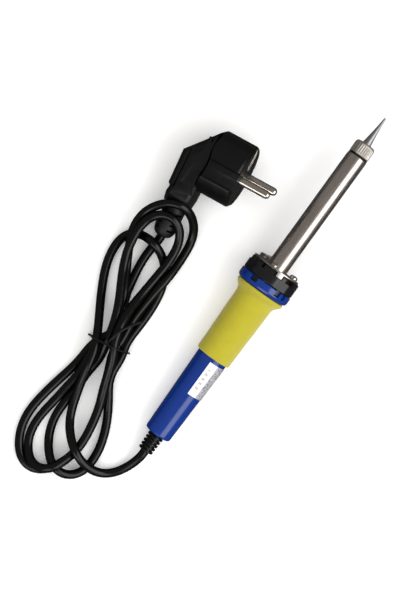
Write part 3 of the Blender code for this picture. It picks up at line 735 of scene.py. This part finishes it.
def make_plug_front():
    outline = rounded([(BLOCK_BACK, 0), (BLOCK_BACK, 18.2, 0.4), (BLOCK_BACK + 1.0, BLOCK_R, 0.6),
                       (-1.4, BLOCK_R, 0.9), (0, 17.7, 0.6), (0, 0)])
    place = PLUG @ Matrix.Translation((0, BLOCK_CENTRE_Y * MM, 0))
    bm = lathe(outline, evenly(128))
    front = finish_mesh("plug_face_block", bm, PLUG_PLASTIC, place)
    notch = ledge_outline(0, 15.5)
    for side in (1, -1):
        for low_y, high_y, floor in BLOCK_GROOVES:
            low_z, high_z = sorted((floor * side, PAST * side))
            carve(front, box((-20.3, low_y, low_z), (1, high_y, high_z)))
        carve(front, loft([level(notch, 9.0 * side), level(notch, PAST * side)]))
        low_y, high_y = sorted((16.8 * side, 22.2 * side))
        carve(front, box((-17.3, low_y, -2.7), (1, high_y, 2.7)))
        low_y, high_y = sorted((4.2 * side, 19.8 * side))
        carve(front, box((-1.2, low_y, -2.7), (1.5, high_y, 2.7)))
        hole_r = PIN_R + 0.3
        hole = lathe([(-9.0, 0), (-9.0, hole_r), (1.0, hole_r), (1.0, 0)], evenly(40))
        bmesh.ops.translate(hole, verts=hole.verts, vec=(0, -BLOCK_CENTRE_Y, PIN_SPACING / 2 * side))
        carve(front, hole)
    bevel(front, 0.35, 2, 40)
    settle(front, 30)
    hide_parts("plug_front")
    return front


def make_plug_metal():
    pin = rounded([(-8.7, 0), (-8.7, PIN_R), (17.2, PIN_R, 1.0), (18.5, 1.7, 0.8), (19.0, 0.7, 0.5),
                   (19.0, 0)])
    pieces = []
    for number, side in ((1, 1), (2, -1)):
        place = PLUG @ Matrix.Translation((0, 0, PIN_SPACING / 2 * side * MM))
        piece = finish_mesh(f"plug_round_pin_{number}", lathe(pin, evenly(48)), NICKEL, place)
        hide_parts(f"plug_pin_{number}")
        pieces.append(piece)
        inner, outer = (-0.9, 0.2) if side > 0 else (-1.15, -0.7)  # x of the leg that lies in the face
        corners = rounded([(-16.8, 17.3), (inner, 17.3, 0.4), (inner, 4.5), (outer, 4.5), (outer, 17.9, 0.9),
                           (-16.8, 17.9)])
        sections = [[(x, BLOCK_CENTRE_Y + y * side, z) for x, y in corners] for z in (-2.2, 2.2)]
        strip = finish_mesh(f"plug_earth_strip_{number}", loft(sections), NICKEL, PLUG)
        low_y, high_y = sorted(BLOCK_CENTRE_Y + reach * side for reach in (4.0, 15.6))
        carve(strip, box((-2, low_y, -0.8), (2, high_y, 0.8)))
        bevel(strip, 0.2, 3)
        settle(strip)
        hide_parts(f"plug_earth_{number}")
        pieces.append(strip)
    return pieces


SHELL_TOP = 12.0
SHELL_UNDER = 11.2  # the underside is flatter, because the shell lies on it
SHELL_STEP = 10.3
SHELL_CHAMFER = 8.2
# Sections of the neck: y, x of its rear and height over the middle
NECK_SECTIONS = ((-14.0, -33.6, 11.2), (-21.5, -34.6, 11.9), (-25.5, -35.2, 11.6),
                 (RELIEF_START + 0.3, -35.2, 7.6))


def shell_outline(rear, side):
    """Outline of the rear shell, with its rear and its sides drawn in."""
    front = BLOCK_BACK - 0.4
    return [(front, 18.4 - side * 2), (-28.8 + rear * 0.8, 9.8 - rear * 0.4 - side),
            (-37.0 + rear, 0.2 - rear * 0.3), (-36.7 + rear, -9.0), (-36.3 + rear, -20.4 + side),
            (-33.5 + rear * 0.6, -23.6 + side), (-20.2, -21.6 + side), (front, -18.4 + side)]


def level(outline, z):
    return [(x, y, z) for x, y in outline]


def make_plug_shell():
    chamfered = shell_outline(2.2, 0.5)
    sections = [level(chamfered, -SHELL_STEP), level(shell_outline(0, 0), -SHELL_CHAMFER),
                level(shell_outline(0, 0), SHELL_CHAMFER), level(chamfered, SHELL_STEP)]
    shell = finish_mesh("plug_rear_shell", loft(sections), PLUG_PLASTIC, PLUG)
    raised = shell_outline(4.9, 0.9)
    carve(shell, loft([level(raised, -SHELL_UNDER), level(raised, SHELL_TOP)]), "UNION")
    ledge = ledge_outline(2.1, 14.0)
    for top in (SHELL_TOP, -SHELL_UNDER):
        carve(shell, loft([level(ledge, math.copysign(9.3, top)), level(ledge, top)]), "UNION")
    neck = []
    for y, rear, over in NECK_SECTIONS:
        under = -min(over, SHELL_UNDER - 0.1)
        corners = [(rear, under + 2.4), (rear + 2.6, under), (-21.8, under), (-20.0, under + 1.6),
                   (-20.0, over - 1.6), (-21.8, over), (rear + 2.6, over), (rear, over - 2.4)]
        neck.append([(x, y, z) for x, z in corners])
    carve(shell, loft(neck), "UNION")
    for side in (1, -1):
        low_z, high_z = sorted((8.0 * side, 13 * side))
        carve(shell, box((-32.7, -20.6, low_z), (-31.7, 5.2, high_z)))
    mark = lathe([(11.4, 0), (11.4, 0.6), (13, 0.6), (13, 0)], evenly(20))
    bmesh.ops.rotate(mark, verts=mark.verts, matrix=Matrix.Rotation(math.radians(-90), 3, "Y"))
    bmesh.ops.translate(mark, verts=mark.verts, vec=(-28.9, -16.6, 0))
    carve(shell, mark)
    bevel(shell, 0.4, 3, 25)
    settle(shell, 30)
    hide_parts("plug_shell")
    return shell


def make_plug_relief():
    outline = rounded([(0, 0), (0, 5.8), (0.8, RELIEF_R, 0.5), (15.6, RELIEF_R, 2), (18.8, 5.6, 1.6),
                       (20.4, 3.8, 0.8), (RELIEF_LENGTH, 0)])
    slots = [(4.3 + 3.5 * row, 5.4 + 3.5 * row) for row in range(4)]
    cuts = [x + side * 0.06 for span in slots for x in span for side in (-1, 1)]
    spans = [(turn - 21, turn + 21) for turn in (45, 135, 225, 315)]
    slot_depth = 3.2

    def shape(x, radius, angle):
        in_slot = any(start < x < end for start, end in slots)
        return radius - slot_depth if in_slot and within(angle, spans) else radius

    columns = with_edges(96, [edge for span in spans for edge in span])
    place = PLUG @ Matrix.Translation(Vector((RELIEF_X, RELIEF_START, RELIEF_LIFT)) * MM)
    place = place @ Matrix.Rotation(math.radians(-90), 4, "Z")
    bm = lathe(with_places(outline, cuts), columns, shape)
    relief = finish_mesh("plug_slotted_relief", bm, MATTE_RUBBER, place)
    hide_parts("plug_relief")
    return relief


def with_places(outline, places):
    """Outline with points added at the given places along x."""
    points = [outline[0]]
    for start, end in zip(outline, outline[1:]):
        for x in sorted(places):
            if start[0] + 1e-6 < x < end[0] - 1e-6:
                share = (x - start[0]) / (end[0] - start[0])
                points.append((x, start[1] + (end[1] - start[1]) * share))
        points.append(end)
    return points


# ---- cord ----

CORD_R = 2.6
STEP = 2.5
NECK_R = 7.4  # the plug's neck, as a round bar that the cord crosses
LAYER = 2.0  # first height of one rank over the next
REAR_X = round(IRON_REAR.x / MM, 2)  # the handle's rear end, which X counts from on the cord's route
LEAD_START = (-11.95, 0, 7.0)
# The cord's route in plan. Two of its stretches start on top of each other.
TWIN_START = (
    (22.9, 46.2), (15.6, 43.6), (8.4, 41.2), (1, 37.9), (-6.1, 35.6), (-12.8, 33.9), (-20.2, 32.5),
    (-27, 31.7), (-34.3, 32), (-41.5, 34),
)
# Each stretch between two passages through the tie, with its rank in the pile: 0 lies lowest
STRANDS = (
    (5, ((-11.95, 0), (-15, 0.2), (-18.5, 1.1), (-23.3, 3), (-29.5, 6.3), (-34.4, 11.1), (-36.6, 16),
        (-37, 22.4), (-35.8, 28.4), (-32.2, 34.7), (-27.3, 40.4), (-21.9, 44.5), (-15.5, 47.7), (-8.4, 50),
        (-0.9, 52.1), (6.8, 54), (14.5, 55.8), (21.3, 58.5))),
    (2, ((31.4, 63.3), (40.3, 68.4), (49.2, 73.4), (58.5, 78), (68.1, 81), (77.6, 81.3), (82.2, 80.4),
        (85.6, 76.6), (87.4, 71), (86.9, 64), (85.1, 58.9), (82.6, 54.6), (77.8, 50.1), (71.2, 46.8),
        (64, 45.1), (55, 44.1), (48.1, 44), (39.6, 44.2), (30.4, 44.5))),
    (1.5, ((26.1, 43.7), (16.9, 41.9), (9.4, 39.8), (5.4, 37.6), (-2, 32.3), (-9.6, 27.5), (-17.1, 24.3),
        (-23.9, 22.1), (-31.5, 21.2), (-37.3, 21.5), (-42.2, 22.9), (-46.1, 26.3), (-48.4, 30.5),
        (-48.5, 35), (-46.8, 39.5), (-42.5, 44.1), (-37.8, 47.8), (-32.5, 50.5), (-26.2, 52.5),
        (-20.1, 53.1), (-14.1, 53), (-9.5, 52.7), (-1.1, 52.4), (7, 52.7), (15.1, 52.5), (22.4, 52.7))),
    (4, ((26.7, 54.4), (36.3, 56.5), (45.8, 59.8), (55.9, 65), (66.4, 70.8), (77.4, 74.9), (88.2, 76.4),
        (96.8, 75), (103.0, 70.8), (105.1, 63.5), (101.5, 56.9), (97.7, 54.5), (91.5, 52.4), (85.4, 52.1),
        (79.2, 52.1), (70.5, 52.5), (62.5, 53), (54.9, 53.8), (47.5, 54), (40.1, 53.2), (26.7, 49.5))),
    (3, (*TWIN_START, (-48, 36.5), (-52, 39.9), (-53.8, 44.4), (-53.2, 49.3),
        (-49.5, 53.8), (-44.5, 57.1), (-38.6, 59.1), (-31.5, 59.8), (-23.9, 59.3), (-16.4, 58.2),
        (-8.6, 57), (-1.7, 56.2), (5.9, 56.1), (12.6, 56.1), (19.2, 56.1))),
    (3.5, ((38, 54.2), (46, 57.5), (54.8, 61.8), (65.6, 68.1), (74.6, 73.4), (82.9, 77), (89.5, 79.4),
        (97.1, 79.4), (104.1, 76.6), (110.4, 71.3), (113.2, 65.8), (113, 58.4), (108.8, 52.6),
        (103.1, 48.9), (96.4, 47.5), (89.3, 46.8), (80.3, 46.7), (72.3, 47.2), (63.5, 48.2), (55.3, 48.5),
        (47.3, 49), (37.9, 48.5), (30.1, 46.8))),
    (1, (*TWIN_START, (-49.5, 38), (-54, 42.5), (-56.2, 49.7), (-53.2, 56),
        (-48.7, 60.4), (-42.2, 64), (-34.6, 66), (-26.4, 66.3), (-18.9, 65.4), (-10.2, 64), (-2, 62.3),
        (4.7, 60.8), (12.2, 60), (19.6, 59.7))),
    (0, ((27, 57.5), (33, 53.5), (38.5, 52.5), (43.4, 55.3), (50.7, 58.8), (56.6, 61.3), (62.7, 62.4),
        (70.9, 63.6), (78.1, 64.3), (85, 64.3), (91.5, 63.9), (95.3, 63.9))),
)
TIE_LINE = ((23.3, 64.5), (27.7, 40.5))
TIE_R = 0.55
TAIL_R = 0.45
TAIL = ((26.0, 52.9), (32.2, 51.6), (36.1, 51.0), (42.0, 48.0), (46.7, 44.5))


def smoothed(points, steps):
    """Points along the smooth curve through the given points (a Catmull-Rom spline)."""
    points = np.array(points, float)
    padded = np.vstack((points[:1], points, points[-1:]))
    t = (np.arange(steps) / steps)[:, None]
    path = []
    for a, b, c, d in zip(padded, padded[1:], padded[2:], padded[3:]):
        path.append(0.5 * (2 * b + (c - a) * t + (2 * a - 5 * b + 4 * c - d) * t ** 2
                           + (3 * b - a - 3 * c + d) * t ** 3))
    return np.vstack(path + [points[-1:]])


def evenly_spaced(path, step):
    along = np.concatenate(([0], np.cumsum(np.linalg.norm(np.diff(path, axis=0), axis=1))))
    count = round(along[-1] / step) + 1
    places = np.linspace(0, along[-1], count)
    return np.stack([np.interp(places, along, path[:, axis]) for axis in range(path.shape[1])], axis=1)


def route_point(matrix, point):
    """A point of the iron's or plug's frame in the route's frame: upright, X from the handle's rear end."""
    x, y, z = (matrix @ (Vector(point) * MM)) / MM
    return np.array((x - REAR_X, y, z))


def cover_height(places, covers):
    """Lowest height of the cord's middle at each place, over the floor and over what it crosses."""
    lowest = np.full(len(places), CORD_R)
    for start, end, radius in covers:
        way = end - start
        share = np.clip((places[:, :2] - start[:2]) @ way[:2] / (way[:2] @ way[:2]), 0, 1)
        nearest = start + share[:, None] * way
        off = np.linalg.norm(places[:, :2] - nearest[:, :2], axis=1)
        reach = radius + CORD_R
        top = nearest[:, 2] + np.sqrt(np.maximum(reach ** 2 - off ** 2, 0))
        lowest = np.maximum(lowest, np.where(off < reach, top, CORD_R))
    return lowest


def straightening(line):
    """How far each point has to move for the line to bend less."""
    move = np.zeros_like(line)
    move[2:-2] = line[:-4] - 4 * line[1:-3] + 6 * line[2:-2] - 4 * line[3:-1] + line[4:]
    return move


def shared_moves(count, first, second, push):
    """The mean of the pushes that each point gets from the points it touches."""
    move = np.zeros((count, *push.shape[1:]))
    times = np.zeros(count)
    np.add.at(move, first, push)
    np.add.at(move, second, -push)
    np.add.at(times, first, 1)
    np.add.at(times, second, 1)
    times = np.maximum(times, 1)
    return move / (times if push.ndim == 1 else times[:, None])


def settled_cord():
    """The cord's middle line, in the route's frame.

    The line starts on its route in plan. First the heights settle, each strand over or under the others
    by its rank, under gravity and the cord's stiffness. Then the points settle in space, a cord's
    thickness apart, held near the route.
    """
    route = [(*point, rank) for rank, points in STRANDS for point in points]
    path = evenly_spaced(smoothed(route, 10), STEP)
    count = len(path)
    rank = path[:, 2]
    line = np.column_stack((path[:, :2], CORD_R + rank * LAYER))

    relief = [route_point(PLUG, (RELIEF_X, RELIEF_START + y, 0)) for y in (0, -RELIEF_LENGTH)]
    neck = [route_point(PLUG, (RELIEF_X, y, 0)) for y in (-20, -32)]
    covers = ((*relief, RELIEF_R), (*neck, NECK_R))
    out = (relief[1] - relief[0]) / RELIEF_LENGTH
    ends = {0: np.array(LEAD_START), 1: np.array(LEAD_START) + (-STEP, 0, -0.2),
            count - 1: relief[1] - out * 2.0, count - 2: relief[1] + out * 0.5}
    own_relief = np.arange(count) > count - 7
    index = np.array([(i, j) for i in range(count) for j in range(i + 5, count)])

    def touching(reach):
        off = np.linalg.norm(line[index[:, 0], :2] - line[index[:, 1], :2], axis=1)
        return index[off < reach].T

    def lay_down():
        lowest = cover_height(line, covers)
        lowest[own_relief] = CORD_R
        line[:, 2] = np.maximum(line[:, 2], lowest)
        for place, point in ends.items():
            line[place] = point

    first, second = touching(2 * CORD_R)
    off = np.linalg.norm(line[first, :2] - line[second, :2], axis=1)
    needed = np.sqrt(4 * CORD_R ** 2 - off ** 2)
    over = np.sign(rank[first] - rank[second])
    for _ in range(3000):
        line[:, 2] -= 0.12 * straightening(line[:, 2]) + 0.004
        missing = np.maximum(needed - over * (line[first, 2] - line[second, 2]), 0) * (over != 0)
        hit = missing > 0
        line[:, 2] += shared_moves(count, first[hit], second[hit], (over * missing * 0.5)[hit])
        lay_down()

    # The route is as seen by the camera: the lower a point lies, the further out it is than it looks
    centre = np.array(VIEW_CENTRE[:2]) - (REAR_X, 0)
    home = centre + (path[:, :2] - centre) * (1 + (VIEW_CENTRE[2] - line[:, 2:]) / VIEW_DISTANCE)
    for step in range(1500):
        if step % 25 == 0:
            first, second = touching(2 * CORD_R + 1.5)
        line[:, :2] += 0.02 * (home - line[:, :2])
        line -= 0.1 * straightening(line)
        line[:, 2] -= 0.003
        way = line[first] - line[second]
        off = np.linalg.norm(way, axis=1)
        hit = off < 2 * CORD_R
        push = ((2 * CORD_R - off[hit]) / np.maximum(off[hit], 1e-6) * 0.5)[:, None] * way[hit]
        line += 0.9 * shared_moves(count, first[hit], second[hit], push)
        lay_down()
    return line


def curve_piece(name, paths, radius, material, resolution=6):
    """Round cord or wire along one or more paths in the route's frame."""
    curve = bpy.data.curves.new(name, "CURVE")
    curve.dimensions = "3D"
    curve.bevel_depth = radius * MM
    curve.bevel_resolution = resolution
    curve.use_fill_caps = True
    for path in paths:
        spline = curve.splines.new("POLY")
        spline.points.add(len(path) - 1)
        for point, place in zip(spline.points, path):
            point.co = ((place[0] + REAR_X) * MM, place[1] * MM, place[2] * MM, 1.0)
        spline.use_smooth = True
    curve.materials.append(material)
    piece = placed(name, curve)
    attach(piece, "iron")
    return piece


def pile_top(line, place):
    """Height of the cord pile's top at a place in plan."""
    off = np.linalg.norm(line[:, :2] - place, axis=1)
    near = off < CORD_R
    if not near.any():
        return 0.0
    return float((line[near, 2] + np.sqrt(CORD_R ** 2 - off[near] ** 2)).max())


def make_tie(line):
    """Wire tie: a loop drawn tight round the pile and a tail of its two twisted ends."""
    start, end = (np.array(point, float) for point in TIE_LINE)
    count = 30
    places = [start + (end - start) * step / count for step in range(count + 1)]
    hull = []  # the loop's upper side: how far along, and how high
    for place in places:
        top = pile_top(line, place) + TIE_R
        along = np.linalg.norm(place - start)
        while len(hull) > 1:
            (x_1, z_1), (x_2, z_2) = hull[-2], hull[-1]
            if (z_2 - z_1) * (along - x_1) <= (top - z_1) * (x_2 - x_1):
                hull.pop()
            else:
                break
        hull.append((along, top))
    length = np.linalg.norm(end - start)
    way = (end - start) / length
    over = [(*(start + way * along), top) for along, top in hull]
    under = [(*(end + way * 0.2), 2.5), (*(end - way * 1.5), TIE_R), (*(start + way * 1.5), TIE_R),
             (*(start - way * 0.2), 2.5)]
    knot_top = pile_top(line, np.array(TAIL[0])) + TIE_R + 0.4
    loop = [(x, y, max(z, TIE_R + 0.05)) for x, y, z in smoothed(over + under + over[:1], 6)]
    tail = [(x, y, max(knot_top, pile_top(line, np.array((x, y))) + 1.0)) for x, y in TAIL]
    tail = evenly_spaced(smoothed(tail, 8), 0.25)
    lay_r = 0.5
    strands = []
    for side in (0, math.pi):
        strand = []
        for number, point in enumerate(tail):
            way = tail[min(number + 1, len(tail) - 1)] - tail[max(number - 1, 0)]
            across = np.cross(way, (0, 0, 1))
            across /= np.linalg.norm(across)
            upward = np.cross(across, way) / np.linalg.norm(way)
            turn = number * 0.62 + side
            strand.append(point + lay_r * (across * math.cos(turn) + upward * math.sin(turn)))
        strands.append(strand)
    band = curve_piece("tie_loop", [loop], TIE_R, TIE, 3)
    twist = curve_piece("tie_twisted_tail", strands, TAIL_R, TIE, 3)
    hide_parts("cord_tie")
    return [band, twist]


def make_cord(pieces):
    line = settled_cord()
    fine = evenly_spaced(smoothed(line, 4), 1.0)
    cord = curve_piece("mains_cord", [fine], CORD_R, RUBBER)
    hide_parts("cord_lead", "cord_hank")
    pieces + make_tie(line)


# ---- camera, floor and light ----

def make_camera():
    data = bpy.data.cameras.new("camera")
    data.sensor_width = SENSOR
    data.lens = SENSOR * VIEW_DISTANCE / VIEW_HEIGHT
    data.clip_end = 20
    place = Matrix.Translation((Vector(VIEW_CENTRE) + Vector((0, 0, VIEW_DISTANCE))) * MM)
    turn = Matrix.Rotation(math.radians(VIEW_TURN), 4, "Z")
    bpy.context.scene.camera = placed("camera", data, place @ turn)


def make_floor():
    """Pale plain floor with a faint glow of its own, which keeps its shadows soft."""
    white = (0.97, 0.97, 0.97)
    material, tree, shader = shaded("floor", white, 0.8)
    shader.inputs["Specular IOR Level"].default_value = 0.1
    tint = mixed(tree, noise(tree, 60.0), (0.95, 0.95, 0.95), white)
    tree.links.new(tint, shader.inputs["Base Color"])
    tree.links.new(tint, shader.inputs["Emission Color"])
    shader.inputs["Emission Strength"].default_value = 0.12
    mesh = bpy.data.meshes.new("floor")
    half = 6.0  # metres
    corners = [(-half, -half, 0), (half, -half, 0), (half, half, 0), (-half, half, 0)]
    mesh.from_pydata(corners, [], [(0, 1, 2, 3)])
    mesh.materials.append(material)
    floor = placed("floor", mesh)
    floor.visible_glossy = False


def add_softbox(name, place, size, power):
    """Area light at a place in metres, aimed at the origin."""
    data = bpy.data.lights.new(name, "AREA")
    data.shape = "RECTANGLE"
    data.size, data.size_y = size
    data.energy = power
    turn = Vector(place).to_track_quat("Z", "Y").to_matrix().to_4x4()
    return placed(name, data, Matrix.Translation(place) @ turn)


def make_light():
    world = bpy.data.worlds.new("studio")
    world.use_nodes = True
    tree = world.node_tree
    way = add(tree, "ShaderNodeTexCoord").outputs["Generated"]
    height = add(tree, "ShaderNodeSeparateXYZ", {"Vector": way}).outputs["Z"]
    tint = mixed(tree, ramp(tree, height, -0.2, 0.3), (0.07, 0.068, 0.066), (0.22, 0.21, 0.20))
    tree.links.new(tint, tree.nodes["Background"].inputs["Color"])
    bpy.context.scene.world = world
    add_softbox("key", (0.05, -0.97, 0.93), (1.7, 1.0), 14.0)
    add_softbox("side", (-1.05, -0.1, 0.75), (0.9, 0.5), 4.0)
    overhead = add_softbox("overhead", (0.0, 0.2, 1.6), (3.4, 3.4), 36.0)
    overhead.visible_glossy = False
    bpy.context.scene.view_settings.view_transform = "Standard"


# ---- the whole scene ----

def main():
    make_camera()
    make_floor()
    make_light()
    finish_nodes()
    relief = make_strain_relief()
    plug_pieces = [make_plug_front(), make_plug_shell(), make_plug_relief(), *make_plug_metal()]
    make_cord([relief, *plug_pieces])
    make_handle()
    make_grip()
    make_label()
    make_collar()
    make_flange()
    make_screws()
    make_barrel()
    make_washer()
    make_nut()
    make_tip()


main()
